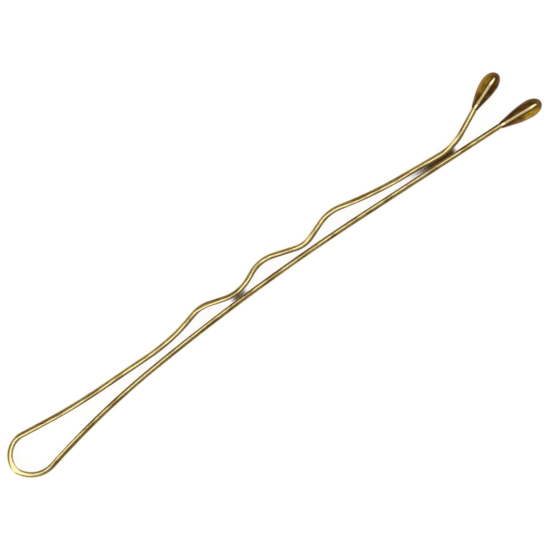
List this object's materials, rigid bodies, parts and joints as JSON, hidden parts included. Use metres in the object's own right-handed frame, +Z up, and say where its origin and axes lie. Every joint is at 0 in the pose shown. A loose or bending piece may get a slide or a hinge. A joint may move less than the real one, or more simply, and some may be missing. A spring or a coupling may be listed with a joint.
{
  "type": "bobby pin",
  "caption": "Slim sprung hair pin bent from flat wire, with a straight leg, a crimped leg with a flared end, and a smooth bead over each tip.",
  "frame": {"origin": "on the surface that the pin lies on, under the middle of its overall box", "axes": "+X along the pin from the bow to the tips, +Y from the straight leg to the wavy leg, +Z up, across the width of the wire"},
  "size_m": [0.06, 0.0058, 0.0018],
  "materials": {
    "gold_wire": "gloss",
    "tip_coating": "gloss"
  },
  "bodies": {
    "bow": {"bow": "gold_wire"},
    "straight_leg_root": {"straight_leg_root": "gold_wire"},
    "straight_leg_middle": {"straight_leg_middle": "gold_wire"},
    "straight_leg_front": {"straight_leg_front": "gold_wire", "straight_tip_bead": "tip_coating"},
    "wavy_leg_root": {"wavy_leg_root": "gold_wire"},
    "wavy_leg_crimps": {"wavy_leg_crimps": "gold_wire"},
    "wavy_leg_front": {"wavy_leg_front": "gold_wire", "wavy_tip_bead": "tip_coating"}
  },
  "joints": [
    {"name": "straight_leg_flex_at_bow", "type": "hinge", "parent": "bow", "child": "straight_leg_root", "pos_m": [-0.02667, -0.00232, 0.0009], "axis": [0, 0, -1], "range_deg": [0, 3.6], "stiffness_Nm_per_rad": 0.57},
    {"name": "straight_leg_flex_at_root", "type": "hinge", "parent": "straight_leg_root", "child": "straight_leg_middle", "pos_m": [-0.01678, -0.00087, 0.0009], "axis": [0, 0, -1], "range_deg": [0, 4.8], "stiffness_Nm_per_rad": 0.35},
    {"name": "straight_leg_flex_at_middle", "type": "hinge", "parent": "straight_leg_middle", "child": "straight_leg_front", "pos_m": [0.00281, -0.00046, 0.0009], "axis": [0, 0, -1], "range_deg": [0, 5], "stiffness_Nm_per_rad": 0.2},
    {"name": "wavy_leg_flex_at_bow", "type": "hinge", "parent": "bow", "child": "wavy_leg_root", "pos_m": [-0.02725, 0.00164, 0.0009], "axis": [0, 0, 1], "range_deg": [0, 3.6], "stiffness_Nm_per_rad": 0.57},
    {"name": "wavy_leg_flex_at_root", "type": "hinge", "parent": "wavy_leg_root", "child": "wavy_leg_crimps", "pos_m": [-0.01731, 0.00067, 0.0009], "axis": [0, 0, 1], "range_deg": [0, 4.8], "stiffness_Nm_per_rad": 0.35},
    {"name": "wavy_leg_flex_at_middle", "type": "hinge", "parent": "wavy_leg_crimps", "child": "wavy_leg_front", "pos_m": [0.00191, 0.00099, 0.0009], "axis": [0, 0, 1], "range_deg": [0, 5], "stiffness_Nm_per_rad": 0.2}
  ],
  "couplings": [
    {"joint": "straight_leg_flex_at_root", "follows": "straight_leg_flex_at_bow", "ratio": 1.3333},
    {"joint": "straight_leg_flex_at_middle", "follows": "straight_leg_flex_at_bow", "ratio": 1.3888},
    {"joint": "wavy_leg_flex_at_bow", "follows": "straight_leg_flex_at_bow", "ratio": 1},
    {"joint": "wavy_leg_flex_at_root", "follows": "straight_leg_flex_at_bow", "ratio": 1.3333},
    {"joint": "wavy_leg_flex_at_middle", "follows": "straight_leg_flex_at_bow", "ratio": 1.3888}
  ]
}
